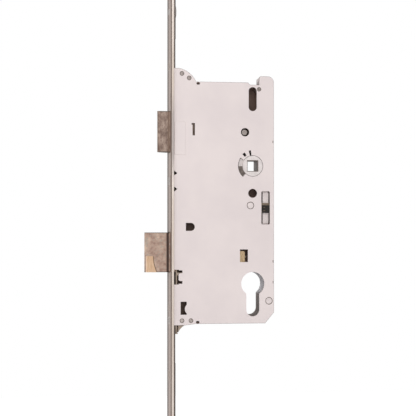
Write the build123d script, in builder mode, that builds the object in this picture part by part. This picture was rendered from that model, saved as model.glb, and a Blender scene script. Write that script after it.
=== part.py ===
from build123d import *
from math import acos, atan2, cos, pi, radians, sin, sqrt, tan
import os

# A multipoint door lock: a long flat faceplate, a mortice lock case behind its middle, a latch and
# a deadbolt through it, and two flat drive rods behind it that carry roller cams up and down.
# Millimetres. X runs from the faceplate's front into the door, Z up, and the case's cover faces -Y.
# The origin is on the faceplate's front, on its centre line, level with the spindle.

# Clearances: between flat faces that slide or just part, between pieces that never meet, and
# between a pin and what turns on it
slide_gap = 0.1
free_gap = 0.3
running_gap = 0.06

# Faceplate and drive rods
plate_width = 20.0
plate_thickness = 2.5
plate_top = 780.0
plate_bottom = -830.0
plate_edge_radius = 1.4
plate_corner_radius = 2.0
rod_thickness = 1.5
rod_width = 15.0
neck_width = 12.4
rod_front = plate_thickness + slide_gap
rod_back = rod_front + rod_thickness
travel = 20.0
upper_rod_end = 62.6
upper_neck_end = 98.0
lower_rod_end = -103.5
lower_neck_end = -153.0
lower_long_slot = (-143.4, -107.6)

# Roller cams and the slots they run in
upper_rollers = (735.0, 366.0)
lower_rollers = (-402.0, -765.0)
roller_radius = 5.5
roller_nose = -8.6
roller_tail = 1.6
roller_nose_round = 0.5
roller_pin_radius = 2.5
pin_head_radius = 3.7
pin_head_height = 0.6
pin_head_front = roller_nose + 0.2
pin_head_back = pin_head_front + pin_head_height
slot_width = 12.0
slot_outer = 12.5
slot_inner = 27.0

# Fastener places along the faceplate
upper_screw_holes = (78.0, 250.0, 520.0, 696.0)
lower_screw_holes = (-163.0, -310.0, -540.0, -726.5)
upper_guide_rivets = (120.0, 200.0, 600.0, 760.5)
lower_guide_rivets = (-205.0, -480.0, -640.0, -790.5)
case_screw_places = (-12.0, -120.4)
case_screw_lengths = (8.3, 6.3)
cylinder_screw_place = -110.5
wood_screw_radius = 2.25
wood_screw_sink_radius = 4.2
machine_screw_radius = 2.0
machine_screw_sink_radius = 3.3
cylinder_screw_radius = 2.6
sink_angle = 90.0
rivet_radius = 2.5
rivet_head_radius = 4.5
rivet_head_height = 1.0
rod_slot_width = 5.6

# Lock case: sheets, the space between them, and the outline of a sheet
case_half = 8.0
sheet = 1.5
wall = 1.2
cavity = case_half - sheet
case_front = plate_thickness
case_back = 82.0
case_top = 65.3
case_bottom = -122.9
lobe_top = 75.6
lobe_flat = 7.0
lobe_waist = (15.5, 71.5)
lobe_end = 20.3
step_start = 61.3
step_end = 63.0
step_top = 63.6
horn_left = 70.1
horn_overhang = 1.3
horn_top = 70.4
horn_radius = 2.0
shoulder_radius = 4.8
chamfer_top = -114.5
chamfer_front = 75.0
foot_bottom = -124.0
foot_front = 11.5
foot_back = 19.5
tongue_bottom = -131.4
tongue_end = 5.6
tab_places = ((-16.6, -7.7), (46.5, 55.5))
edge_round = 0.6

# Spindle, cylinder and other axes in the case
backset = 65.0
spindle_square = 8.0
spindle_chamfer = 0.5
hub_radius = 8.0
hub_hole_radius = 8.3
arc_slots = ((97, 105, 8.0, 12.3), (121, 132, 9.4, 12.3), (147, 228, 8.0, 11.7))
cylinder_z = -92.0
cylinder_radius = 9.2
cylinder_leg = 10.3
cylinder_bottom = -117.4
far_leg_spare = 1.0
stud_place = (58.9, 26.3)
stud_radius = 2.35
stud_depth = 2.5
lobe_rivet_places = ((9.0, 71.4), (14.7, 68.0))
foot_rivet_places = ((9.1, -120.3), (16.1, -120.3))
case_rivet_radius = 1.5
anchor_place = (70.1, 60.1)
anchor_radius = 1.4
pillar_places = ((63.2, -30.9), (77.9, -105.4))
pillar_radius = 2.5
rivet_sink = 0.3
pillar_sink = 0.45

# Latch
latch_low = 10.3
latch_high = 42.2
bolt_half = 5.5
opening_half = 5.8
bolt_edge = 0.6
latch_nose = -9.7
latch_rear = 5.5
latch_pin_places = ((3.4, 19.5), (3.4, 28.5))
latch_pin_radius = 1.5
tail_half = 2.4
arm_reach = 14.5
arm_tip_radius = 2.0
arm_width = 2.8
lower_arm_reach = 12.2
arm_swing = 21.0

# Deadbolt
bolt_low = -82.8
bolt_high = -52.0
bolt_nose = -20.0
nose_slant = 1.6
bolt_rear = 4.3
bolt_pin_places = ((1.2, -61.0), (1.2, -70.0))
bolt_pin_radius = 1.6
bolt_slot_front = -1.6
bolt_tail_low = -74.0
bolt_tail_high = -57.0

# Gear train: one key gear, one reversing gear, and three racks cut to match
teeth = 12
pitch_radius = 8.0
pressure_angle = 25.0
addendum = 1.0
dedendum = 1.4
tooth_relief = 0.1
rack_backing = 0.3
gear_pin_radius = 2.4
tooth_pitch = 2 * pi * pitch_radius / teeth
key_x, key_z = 51.5, -73.0
mesh_direction = 150.0
turn_x = key_x + 2 * pitch_radius * cos(radians(mesh_direction))
turn_z = key_z + 2 * pitch_radius * sin(radians(mesh_direction))

# Three layers of moving plates in the cavity, each as (near face, far face), and the teeth of the
# two slides that drop into the drive rods
near_layer = (-5.8, -3.3)
middle_layer = (-2.5, 2.5)
far_layer = (3.3, 5.8)
upper_tooth = (64.1, 71.9)
lower_tooth = (-115.9, -106.1)
lower_tooth_thickness = 1.5

os.makedirs("parts", exist_ok=True)


def save(part, name):
    part.label = name
    export_step(part, f"parts/{name}.step")


def facing(far):
    # A sketch plane at y = far that looks towards the cover, with X and Z as its own axes
    return Plane.XZ.offset(-far)


def front_face(z):
    # A place on the faceplate's front, looking out of the door
    return Plane(origin=(0, 0, z), x_dir=(0, 1, 0), z_dir=(-1, 0, 0))


def near_face(place, y=-case_half):
    # A place on the cover's outer face, or on another face at y, looking out of the case
    return Plane(origin=(place[0], y, place[1]), x_dir=(1, 0, 0), z_dir=(0, -1, 0))


def rods_across(places, radius, near, far, bevel=0.0):
    # Round pins that lie across the case, from y = near to y = far
    with BuildPart() as pins:
        with BuildSketch(facing(far)):
            with Locations(*places):
                Circle(radius)
        extrude(amount=far - near)
        if bevel:
            ends = pins.faces().group_by(Axis.Y)[0]
            chamfer([edge for end in ends for edge in end.edges()], bevel)
    return pins.part


def sector(inner, outer, start, end):
    # Part of a ring round the spindle, with angles from +X towards +Z
    reach = 2 * outer
    middle = (start + end) / 2
    fan = [(0, 0)] + [
        (reach * cos(radians(a)), reach * sin(radians(a))) for a in (start, middle, end)
    ]
    with BuildSketch() as ring:
        Circle(outer)
        Circle(inner, mode=Mode.SUBTRACT)
        Polygon(*fan, align=None, mode=Mode.INTERSECT)
    return ring.sketch


def case_outline(horn_edge):
    # A sheet of the case seen from its cover's side; its horn starts at horn_edge
    bend = 1 - sqrt(0.5)
    small, large = bend * horn_radius, bend * shoulder_radius
    with BuildLine() as line:
        Polyline((case_front, foot_bottom), (case_front, lobe_top), (lobe_flat, lobe_top))
        ThreePointArc((lobe_flat, lobe_top), lobe_waist, (lobe_end, case_top))
        Polyline((lobe_end, case_top), (step_start, case_top), (step_end, step_top),
                 (horn_edge, step_top), (horn_edge, horn_top - horn_radius))
        ThreePointArc((horn_edge, horn_top - horn_radius), (horn_edge + small, horn_top - small),
                      (horn_edge + horn_radius, horn_top))
        Line((horn_edge + horn_radius, horn_top), (case_back - shoulder_radius, horn_top))
        ThreePointArc((case_back - shoulder_radius, horn_top),
                      (case_back - large, horn_top - large),
                      (case_back, horn_top - shoulder_radius))
        Polyline((case_back, horn_top - shoulder_radius), (case_back, chamfer_top),
                 (chamfer_front, case_bottom), (foot_back, case_bottom),
                 (foot_front, foot_bottom), (case_front, foot_bottom))
    with BuildSketch() as outline:
        add(line.line)
        make_face()
    return outline.sketch


def case_inside():
    # The room inside the base's rim
    with BuildSketch() as inside:
        add(case_outline(horn_left + horn_overhang))
        offset(amount=-wall, kind=Kind.INTERSECTION)
    return inside.sketch


def cylinder_opening(leg, bottom):
    leg_radius = leg / 2
    leg_end = bottom + leg_radius
    with BuildSketch() as opening:
        with Locations((backset, cylinder_z)):
            Circle(cylinder_radius)
        with Locations((backset, (cylinder_z + leg_end) / 2)):
            Rectangle(leg, cylinder_z - leg_end)
        with Locations((backset, leg_end)):
            Circle(leg_radius)
    return opening.sketch


def on_layer(sketch, far):
    # Moves a sketch drawn in X and Z to the plane at y = far
    return facing(far).location * sketch


def involute(angle):
    return tan(angle) - angle


def gear_face(first_tooth):
    # Involute teeth: the flank's angle from the tooth's middle, at any radius outside the base
    base = pitch_radius * cos(radians(pressure_angle))
    root = pitch_radius - dedendum
    tip = pitch_radius + addendum
    half_at_pitch = (tooth_pitch / 4 - tooth_relief) / pitch_radius

    def flank(radius, side):
        half = half_at_pitch + involute(radians(pressure_angle)) - involute(acos(base / radius))
        return (radius * cos(half), side * radius * sin(half))

    middle = (base + tip) / 2
    foot = atan2(flank(base, 1)[1], flank(base, 1)[0])
    with BuildLine() as edge:
        ThreePointArc(flank(base, -1), flank(middle, -1), flank(tip, -1))
        ThreePointArc(flank(tip, -1), (tip, 0), flank(tip, 1))
        ThreePointArc(flank(tip, 1), flank(middle, 1), flank(base, 1))
        Polyline(flank(base, 1), (root * cos(foot), root * sin(foot)),
                 (root - 1, 0), (root * cos(foot), -root * sin(foot)), flank(base, -1))
    with BuildSketch() as tooth:
        add(edge.line)
        make_face()
    with BuildSketch() as gear:
        Circle(root)
        with PolarLocations(0, teeth, start_angle=first_tooth):
            add(tooth.sketch)
    return gear.sketch


def rack_face(first, last, gear_at):
    # Straight rack teeth that point to +X from a pitch line on X = 0, a tooth in line with gear_at
    flare = tan(radians(pressure_angle))
    half = tooth_pitch / 4 - tooth_relief
    tip_half = half - addendum * flare
    root_half = half + dedendum * flare
    behind = -dedendum - rack_backing
    places = []
    place = gear_at - tooth_pitch * int((gear_at - first) / tooth_pitch)
    while place <= last:
        places.append((0, place))
        place += tooth_pitch
    with BuildSketch() as rack:
        with Locations(*places):
            Polygon((behind, -root_half), (-dedendum, -root_half), (addendum, -tip_half),
                    (addendum, tip_half), (-dedendum, root_half), (behind, root_half), align=None)
    return rack.sketch


# Faceplate: openings for the two bolts, four roller slots, and its screw and rivet holes
plate_middle = (plate_top + plate_bottom) / 2
slot_shift = (slot_outer - slot_inner) / 2
with BuildPart() as faceplate:
    with BuildSketch(Plane.YZ):
        with Locations((0, plate_middle)):
            Rectangle(plate_width, plate_top - plate_bottom)
    extrude(amount=plate_thickness)
    fillet(faceplate.edges().filter_by(Axis.X), plate_corner_radius)
    fillet(faceplate.faces().sort_by(Axis.X)[0].edges(), plate_edge_radius)
    with BuildSketch(Plane.YZ):
        for low, high in ((latch_low, latch_high), (bolt_low, bolt_high)):
            with Locations((0, (low + high) / 2)):
                Rectangle(2 * opening_half, high - low + 2 * free_gap)
        for z in upper_rollers:
            with Locations((0, z + slot_shift)):
                SlotOverall(slot_outer + slot_inner, slot_width, rotation=90)
        for z in lower_rollers:
            with Locations((0, z - slot_shift)):
                SlotOverall(slot_outer + slot_inner, slot_width, rotation=90)
        for low, high in tab_places:
            with Locations((cavity + sheet / 2, (low + high) / 2),
                           (-cavity - sheet / 2, (low + high) / 2)):
                Rectangle(sheet, high - low)
        with Locations(*[(0, z) for z in upper_guide_rivets + lower_guide_rivets]):
            Circle(rivet_radius)
    extrude(amount=plate_thickness, mode=Mode.SUBTRACT)
    with Locations(*[front_face(z) for z in upper_screw_holes + lower_screw_holes]):
        CounterSinkHole(wood_screw_radius, wood_screw_sink_radius, counter_sink_angle=sink_angle)
    with Locations(*[front_face(z) for z in case_screw_places]):
        CounterSinkHole(machine_screw_radius, machine_screw_sink_radius,
                        counter_sink_angle=sink_angle)
    with Locations(front_face(cylinder_screw_place)):
        CounterSinkHole(cylinder_screw_radius, machine_screw_sink_radius,
                        counter_sink_angle=sink_angle)
save(faceplate.part, "faceplate")


def drive_rod(end, neck_end, far_end, way, screws, rivets, rollers, long_slot, notch):
    # way is the direction in which the rod slides as it unlocks: -1 down, +1 up
    with BuildPart() as rod:
        with BuildSketch(Plane.YZ.offset(rod_front)):
            with Locations((0, (neck_end + far_end) / 2)):
                Rectangle(rod_width, abs(far_end - neck_end))
            with Locations((0, (end + neck_end) / 2)):
                Rectangle(neck_width, abs(end - neck_end))
            for z in screws + rivets:
                with Locations((0, z - way * travel / 2)):
                    SlotOverall(travel + rod_slot_width + 2 * free_gap, rod_slot_width,
                                rotation=90, mode=Mode.SUBTRACT)
            if long_slot:
                with Locations((0, sum(long_slot) / 2)):
                    SlotOverall(abs(long_slot[1] - long_slot[0]), rod_slot_width, rotation=90,
                                mode=Mode.SUBTRACT)
            near, far, low, high = notch
            with Locations(((near + far) / 2, (low + high) / 2)):
                Rectangle(far - near, high - low, mode=Mode.SUBTRACT)
            with Locations(*[(0, z) for z in rollers]):
                Circle(roller_pin_radius, mode=Mode.SUBTRACT)
        extrude(amount=rod_thickness)
    return rod.part


# Drive rods: each has an edge notch that its slide's tooth drops into
upper_notch = (-neck_width / 2, near_layer[1] + slide_gap,
               upper_tooth[0] - slide_gap, upper_tooth[1] + slide_gap)
lower_notch = (far_layer[1] - lower_tooth_thickness - slide_gap, neck_width / 2,
               lower_tooth[0] - slide_gap, lower_tooth[1] + slide_gap)
upper_rod = drive_rod(upper_rod_end, upper_neck_end, plate_top, -1, upper_screw_holes,
                      upper_guide_rivets, upper_rollers, None, upper_notch)
save(upper_rod, "upper_rod")
lower_rod = drive_rod(lower_rod_end, lower_neck_end, plate_bottom, 1, lower_screw_holes,
                      lower_guide_rivets, lower_rollers, lower_long_slot, lower_notch)
save(lower_rod, "lower_rod")


# Roller cams: a shouldered pin staked in the rod, a washer, and a sleeve that turns on the pin and
# has the pin's head let into its nose
def roller_sleeve(z):
    with BuildPart() as sleeve:
        with BuildSketch(Plane.YZ.offset(roller_nose)):
            with Locations((0, z)):
                Circle(roller_radius)
        extrude(amount=roller_tail - roller_nose)
        fillet(sleeve.faces().sort_by(Axis.X)[0].edges(), roller_nose_round)
        chamfer(sleeve.faces().sort_by(Axis.X)[-1].edges(), free_gap)
        with BuildSketch(Plane.YZ.offset(roller_nose)):
            with Locations((0, z)):
                Circle(roller_pin_radius + running_gap)
        extrude(amount=roller_tail - roller_nose, mode=Mode.SUBTRACT)
        with BuildSketch(Plane.YZ.offset(roller_nose)):
            with Locations((0, z)):
                Circle(pin_head_radius + free_gap)
        extrude(amount=pin_head_back + slide_gap - roller_nose, mode=Mode.SUBTRACT)
    return sleeve.part


def roller_pins(rollers):
    places = [(0, z) for z in rollers]
    with BuildPart() as pins:
        with BuildSketch(Plane.YZ.offset(pin_head_front)):
            with Locations(*places):
                Circle(roller_pin_radius)
        extrude(amount=rod_back - pin_head_front)
        with BuildSketch(Plane.YZ.offset(pin_head_front)):
            with Locations(*places):
                Circle(pin_head_radius)
        extrude(amount=pin_head_height)
    return pins.part


def roller_washers(rollers):
    washer_front = roller_tail + slide_gap
    with BuildPart() as washers:
        with BuildSketch(Plane.YZ.offset(washer_front)):
            with Locations(*[(0, z) for z in rollers]):
                Circle(roller_radius - slide_gap)
                Circle(roller_pin_radius, mode=Mode.SUBTRACT)
        extrude(amount=rod_front - washer_front)
    return washers.part


roller_names = ("upper_outer_roller", "upper_inner_roller",
                "lower_inner_roller", "lower_outer_roller")
for roller_name, roller_z in zip(roller_names, upper_rollers + lower_rollers):
    save(roller_sleeve(roller_z), roller_name)
save(roller_pins(upper_rollers), "upper_roller_pins")
save(roller_pins(lower_rollers), "lower_roller_pins")
save(roller_washers(upper_rollers), "upper_roller_washers")
save(roller_washers(lower_rollers), "lower_roller_washers")

# Guide rivets: fixed in the faceplate, with a wide head behind each rod's slot
guide_rivet_places = [(0, z) for z in upper_guide_rivets + lower_guide_rivets]
with BuildPart() as guide_rivets:
    with BuildSketch(Plane.YZ):
        with Locations(*guide_rivet_places):
            Circle(rivet_radius)
    extrude(amount=rod_back + slide_gap)
    with BuildSketch(Plane.YZ.offset(rod_back + slide_gap)):
        with Locations(*guide_rivet_places):
            Circle(rivet_head_radius)
    extrude(amount=rivet_head_height)
save(guide_rivets.part, "guide_rivets")


def case_tabs():
    # Tabs of a case sheet that reach into the faceplate's slots
    with BuildSketch() as tabs:
        for low, high in tab_places:
            with Locations(((plate_thickness + slide_gap) / 2, (low + high) / 2)):
                Rectangle(plate_thickness - slide_gap, high - low)
    return tabs.sketch


# Case base: the far sheet with its tongue, and the rim round the cavity, open at the front and
# where the bottom bracket comes through
bracket_top = -118.4
bracket_back = 19.0
tongue_root = -122.0
tongue_waist = (8.0, -127.6)
tongue_back = 12.0
with BuildPart() as case_base:
    extrude(on_layer(case_outline(horn_left + horn_overhang), case_half),
            amount=case_half + cavity)
    extrude(on_layer(case_inside(), cavity), amount=2 * cavity, mode=Mode.SUBTRACT)
    with BuildSketch(facing(cavity)):
        with Locations((0, foot_bottom)):
            Rectangle(rod_back + free_gap, lobe_top - foot_bottom, align=(Align.MIN, Align.MIN))
        with Locations((0, bracket_top)):
            Rectangle(bracket_back + free_gap, bracket_top - tongue_bottom,
                      align=(Align.MIN, Align.MAX))
    extrude(amount=2 * cavity, mode=Mode.SUBTRACT)
    with BuildSketch(facing(case_half)):
        with BuildLine():
            Polyline((case_front, tongue_root), (case_front, tongue_bottom),
                     (tongue_end, tongue_bottom))
            ThreePointArc((tongue_end, tongue_bottom), tongue_waist, (tongue_back, foot_bottom))
            Polyline((tongue_back, foot_bottom), (tongue_back, tongue_root),
                     (case_front, tongue_root))
        make_face()
        add(case_tabs())
    extrude(amount=sheet)
    with BuildSketch(facing(case_half)):
        with Locations((backset, 0)):
            Circle(hub_hole_radius)
        with Locations(*lobe_rivet_places, *foot_rivet_places):
            Circle(case_rivet_radius)
        with Locations(anchor_place):
            Circle(anchor_radius)
        with Locations(*pillar_places):
            Circle(pillar_radius)
        with Locations(stud_place):
            Circle(stud_radius)
        with Locations((key_x, key_z)):
            Circle(gear_pin_radius)
        add(cylinder_opening(cylinder_leg + far_leg_spare, cylinder_bottom + far_leg_spare))
    extrude(amount=sheet, mode=Mode.SUBTRACT)
save(case_base.part, "case_base")


def block(left, right, low, high, round_off=0.0, mode=Mode.ADD):
    # A rectangle given by its four sides
    with Locations(((left + right) / 2, (low + high) / 2)):
        if round_off:
            RectangleRounded(right - left, high - low, round_off, mode=mode)
        else:
            Rectangle(right - left, high - low, mode=mode)


# Holes and windows of the cover. A box is its left, right, low and high sides
long_slot_ends = (42.9, 61.7)
long_slot_width = 6.4
stud_hole_radius = 3.3
round_hole_place = (64.9, -21.4)
round_hole_radius = 3.5
window_left, window_right, window_low, window_high = 71.9, 78.6, -45.8, -19.7
window_round = 1.2
corner_dots = ((21.8, 63.9), (21.4, -121.6))
corner_dot_length = 2.8
corner_dot_width = 2.0
rim_notches = (-6.0, -18.4)
rim_notch_half = 2.2
rim_notch_depth = 2.9
back_nicks = (19.0, -74.6, -90.8)
back_nick_depth = 1.1
back_nick_half = 0.9
key_hole_box = (12.1, 16.0, -50.8, -44.6)
key_hole_centre = (16.0, -47.7)
gear_window_box = (54.8, 61.1, -75.1, -65.2)
slit_box = (17.3, 19.2, 23.4, 33.0)
slit_foot_box = (16.6, 17.3, 31.6, 33.0)
bolt_window_box = (2.6, 6.6, -92.3, -80.8)
bolt_window_hooks_box = (2.6, 9.4, -91.7, -81.4)
bolt_window_tongue_box = (6.4, 12.0, -89.6, -83.6)
bolt_window_tongue_round = 1.4
foot_window_box = (8.0, 12.8, -115.7, -105.6)
foot_window_tongue_centre = (15.9, -111.3)
foot_window_tongue_radius = 4.6


def cover_openings():
    with BuildSketch() as openings:
        with Locations((backset, 0)):
            Circle(hub_hole_radius)
            for start, end, inner, outer in arc_slots:
                add(sector(inner, outer, start, end))
        with Locations((backset, sum(long_slot_ends) / 2)):
            SlotOverall(long_slot_ends[1] - long_slot_ends[0], long_slot_width, rotation=90)
        with Locations(stud_place):
            Circle(stud_hole_radius)
        with Locations(round_hole_place):
            Circle(round_hole_radius)
        block(window_left, window_right, window_low, window_high, window_round)
        # A hole with one round side, the gears' window, and the slit with its short foot
        block(*key_hole_box)
        with Locations(key_hole_centre):
            Circle((key_hole_box[3] - key_hole_box[2]) / 2)
        block(*gear_window_box)
        block(*slit_box)
        block(*slit_foot_box)
        # Two windows beside the faceplate, each with a tongue of sheet left in it
        block(*bolt_window_box)
        block(*bolt_window_hooks_box)
        block(*bolt_window_tongue_box, bolt_window_tongue_round, Mode.SUBTRACT)
        block(*foot_window_box)
        with Locations(foot_window_tongue_centre):
            Circle(foot_window_tongue_radius, mode=Mode.SUBTRACT)
        for z in rim_notches:
            Polygon((case_front, z + rim_notch_half), (case_front + rim_notch_depth, z),
                    (case_front, z - rim_notch_half), align=None)
        with Locations(*corner_dots):
            SlotOverall(corner_dot_length, corner_dot_width)
        for z in back_nicks:
            block(case_back - back_nick_depth, case_back + back_nick_depth,
                  z - back_nick_half, z + back_nick_half)
        add(cylinder_opening(cylinder_leg, cylinder_bottom))
    return openings.sketch


# Case cover: the near sheet, with its edges rounded over, its openings, the sunk holes for the
# rivets' ends, and a low raised panel beside the latch
panel_left, panel_right, panel_low, panel_high = 3.1, 11.9, 8.2, 33.9
panel_height = 0.3
panel_bevel = 0.25
panel_round = 0.6
with BuildPart() as case_cover:
    extrude(on_layer(case_outline(horn_left), -cavity), amount=sheet)
    rim = case_cover.faces().sort_by(Axis.Y)[0].edges()
    outer_rim = [e for e in rim if e.center().X > case_front + slide_gap]
    fillet(outer_rim, edge_round)
    extrude(on_layer(case_tabs(), -cavity), amount=sheet)
    extrude(on_layer(cover_openings(), -cavity), amount=sheet, mode=Mode.SUBTRACT)
    with Locations(*[near_face(p) for p in lobe_rivet_places + foot_rivet_places]):
        CounterSinkHole(case_rivet_radius, case_rivet_radius + rivet_sink,
                        counter_sink_angle=sink_angle)
    with Locations(near_face(anchor_place)):
        CounterSinkHole(anchor_radius, anchor_radius + rivet_sink, counter_sink_angle=sink_angle)
    with Locations(*[near_face(p) for p in pillar_places]):
        CounterSinkHole(pillar_radius, pillar_radius + pillar_sink, counter_sink_angle=sink_angle)
    with BuildSketch(facing(-case_half)):
        block(panel_left, panel_right, panel_low, panel_high, panel_round)
    extrude(amount=panel_height)
    chamfer(case_cover.faces().sort_by(Axis.Y)[0].edges(), panel_bevel)
save(case_cover.part, "case_cover")

# Rivets and pillars between the two sheets, and the stud that keeps the latch tail down. Their
# near ends are bevelled, and the rivets' are dimpled by the rivet set
rivet_end = -case_half + slide_gap
rivet_bevel = 0.3
pillar_bevel = 0.3
dimple_radius = 0.8
dimple_depth = 0.8
with BuildPart() as case_rivets:
    add(rods_across(lobe_rivet_places + foot_rivet_places, case_rivet_radius, rivet_end,
                    case_half, rivet_bevel))
    add(rods_across([anchor_place], anchor_radius, rivet_end + rivet_sink, case_half, rivet_bevel))
    with Locations(*[near_face(p, rivet_end) for p in lobe_rivet_places]):
        Hole(dimple_radius, dimple_depth)
    with Locations(near_face(anchor_place, rivet_end + rivet_sink)):
        Hole(dimple_radius, 2 * dimple_depth)
save(case_rivets.part, "case_rivets")
save(rods_across(pillar_places, pillar_radius, -case_half, case_half, pillar_bevel),
     "case_pillars")
with BuildPart() as tail_stud:
    add(rods_across([stud_place], stud_radius, stud_depth - case_half, case_half, rivet_bevel))
    with Locations(near_face(stud_place, stud_depth - case_half)):
        Hole(dimple_radius, dimple_depth)
save(tail_stud.part, "tail_stud")

# Middle and bottom brackets: blocks between the sheets that the case screws are driven into
middle_screw, bottom_screw = case_screw_places
bracket_depth = 7.0
bracket_height = 10.0
with BuildPart() as middle_bracket:
    with BuildSketch(facing(cavity)):
        block(case_front, case_front + bracket_depth,
              middle_screw - bracket_height / 2, middle_screw + bracket_height / 2)
    extrude(amount=2 * cavity)
    with BuildSketch(Plane.YZ.offset(case_front)):
        with Locations((0, middle_screw)):
            Circle(machine_screw_radius)
    extrude(amount=case_screw_lengths[0] - case_front + free_gap, mode=Mode.SUBTRACT)
save(middle_bracket.part, "middle_bracket")

bracket_front = rod_back + 2 * slide_gap
bracket_bottom = -130.6
bracket_tip = 5.9
bracket_waist = (7.9, -126.9)
bracket_knee = (11.6, -123.8)
bracket_heel = (bracket_back, -121.9)
bracket_boss_radius = 2.5
groove_left, groove_right, groove_low, groove_high = 5.0, 6.4, -129.9, -123.2
groove_depth = 3.9
with BuildPart() as bottom_bracket:
    with BuildSketch(facing(cavity)):
        with BuildLine():
            Polyline((bracket_front, bracket_top), (bracket_front, bracket_bottom),
                     (bracket_tip, bracket_bottom))
            ThreePointArc((bracket_tip, bracket_bottom), bracket_waist, bracket_knee)
            Polyline(bracket_knee, bracket_heel, (bracket_back, bracket_top),
                     (bracket_front, bracket_top))
        make_face()
    extrude(amount=2 * cavity)
    with BuildSketch(facing(groove_depth - cavity)):
        block(groove_left, groove_right, groove_low, groove_high)
    extrude(amount=groove_depth, mode=Mode.SUBTRACT)
    with BuildSketch(facing(cavity)):
        with Locations(*foot_rivet_places):
            Circle(case_rivet_radius)
    extrude(amount=2 * cavity, mode=Mode.SUBTRACT)
    with BuildSketch(Plane.YZ.offset(case_front)):
        with Locations((0, bottom_screw)):
            Circle(bracket_boss_radius)
    extrude(amount=bracket_front - case_front)
    with BuildSketch(Plane.YZ.offset(case_front)):
        with Locations((0, bottom_screw)):
            Circle(machine_screw_radius)
    extrude(amount=case_screw_lengths[1] - case_front + free_gap, mode=Mode.SUBTRACT)
save(bottom_bracket.part, "bottom_bracket")

# Case screws: countersunk machine screws from the faceplate's front, with a cross recess
head_rim = machine_screw_sink_radius - slide_gap
head_depth = machine_screw_sink_radius - machine_screw_radius
recess_length = 4.4
recess_width = 0.9
recess_turn = 35
with BuildPart() as case_screws:
    for z, length in zip(case_screw_places, case_screw_lengths):
        with BuildSketch(Plane.YZ.offset(slide_gap)):
            with Locations((0, z)):
                Circle(machine_screw_radius)
        extrude(amount=length - slide_gap)
        with BuildSketch(Plane.XZ):
            with BuildLine():
                Polyline((slide_gap, z), (slide_gap, z + head_rim),
                         (head_depth, z + machine_screw_radius), (head_depth, z), (slide_gap, z))
            make_face()
        revolve(axis=Axis((0, 0, z), (1, 0, 0)))
    with BuildSketch(Plane.YZ.offset(slide_gap)):
        with Locations(*[(0, z) for z in case_screw_places]):
            Rectangle(recess_length, recess_width, rotation=recess_turn)
            Rectangle(recess_width, recess_length, rotation=recess_turn)
    extrude(amount=recess_width, mode=Mode.SUBTRACT)
save(case_screws.part, "case_screws")


def bolt_bar(front, rear, low, high):
    # A bolt's bar along X, with the two long edges of its near face bevelled
    with BuildPart() as bar:
        with BuildSketch(Plane.YZ.offset(front)):
            Polygon((-bolt_half, low + bolt_edge), (bolt_edge - bolt_half, low), (bolt_half, low),
                    (bolt_half, high), (bolt_edge - bolt_half, high),
                    (-bolt_half, high - bolt_edge), align=None)
        extrude(amount=rear - front)
    return bar.part


# Latch bolt: bevelled on its far side, with a slot in its rear for the tail and two pins' holes
bevel_end = -0.8
tip_round = 2.0
tip_step = 0.6
bevel_start = (latch_nose + tip_step, -2.1)
bevel_middle = (-5.2, 2.4)
tail_head_left, tail_head_right = 1.6, 9.0
tail_head_low, tail_head_high = 16.0, 32.0
tail_slot_low, tail_slot_high = 15.9, 32.1
with BuildPart() as latch_bolt:
    add(bolt_bar(latch_nose, latch_rear, latch_low, latch_high))
    with BuildSketch(Plane.XY.offset(latch_low)):
        with BuildLine():
            Polyline((latch_rear, bolt_half), (latch_rear, -bolt_half),
                     (latch_nose + tip_round, -bolt_half))
            ThreePointArc((latch_nose + tip_round, -bolt_half),
                          (latch_nose + tip_step, -bolt_half + tip_step),
                          (latch_nose, -bolt_half + tip_round))
            Line((latch_nose, -bolt_half + tip_round), bevel_start)
            ThreePointArc(bevel_start, bevel_middle, (bevel_end, bolt_half))
            Line((bevel_end, bolt_half), (latch_rear, bolt_half))
        make_face()
    extrude(amount=latch_high - latch_low, mode=Mode.INTERSECT)
    with BuildSketch(facing(tail_half + slide_gap / 2)):
        block(tail_head_left - slide_gap, latch_rear + slide_gap, tail_slot_low, tail_slot_high)
    extrude(amount=2 * tail_half + slide_gap, mode=Mode.SUBTRACT)
    with BuildSketch(facing(bolt_half)):
        with Locations(*latch_pin_places):
            Circle(latch_pin_radius)
    extrude(amount=2 * bolt_half, mode=Mode.SUBTRACT)
save(latch_bolt.part, "latch_bolt")

# Latch tail: runs back over the follower's arm, which pushes on its tooth, and under the stud
tip_rest = backset - arm_reach * sin(radians(arm_swing))
tooth_face = tip_rest + arm_tip_radius + free_gap
tail_end = tooth_face + 3.9
tail_low, tail_top, tail_back_top = 17.2, 21.6, 23.6
tail_tooth_low = 12.4
tail_rise_start, tail_rise_end = 46.0, 48.0
tail_neck = 12.0
tail_shoulder = 24.0
with BuildPart() as latch_tail:
    with BuildSketch(facing(tail_half)):
        with BuildLine():
            Polyline((tail_head_left, tail_head_low), (tail_head_right, tail_head_low),
                     (tail_head_right, tail_low), (tooth_face, tail_low),
                     (tooth_face, tail_tooth_low), (tail_end, tail_tooth_low),
                     (tail_end, tail_back_top), (tail_rise_end, tail_back_top),
                     (tail_rise_start, tail_top), (tail_neck, tail_top),
                     (tail_head_right, tail_shoulder), (tail_head_right, tail_head_high),
                     (tail_head_left, tail_head_high), (tail_head_left, tail_head_low))
        make_face()
        with Locations(*latch_pin_places):
            Circle(latch_pin_radius, mode=Mode.SUBTRACT)
    extrude(amount=2 * tail_half)
save(latch_tail.part, "latch_tail")
save(rods_across(latch_pin_places, latch_pin_radius, slide_gap - bolt_half,
                 bolt_half - slide_gap), "latch_pins")


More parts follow.
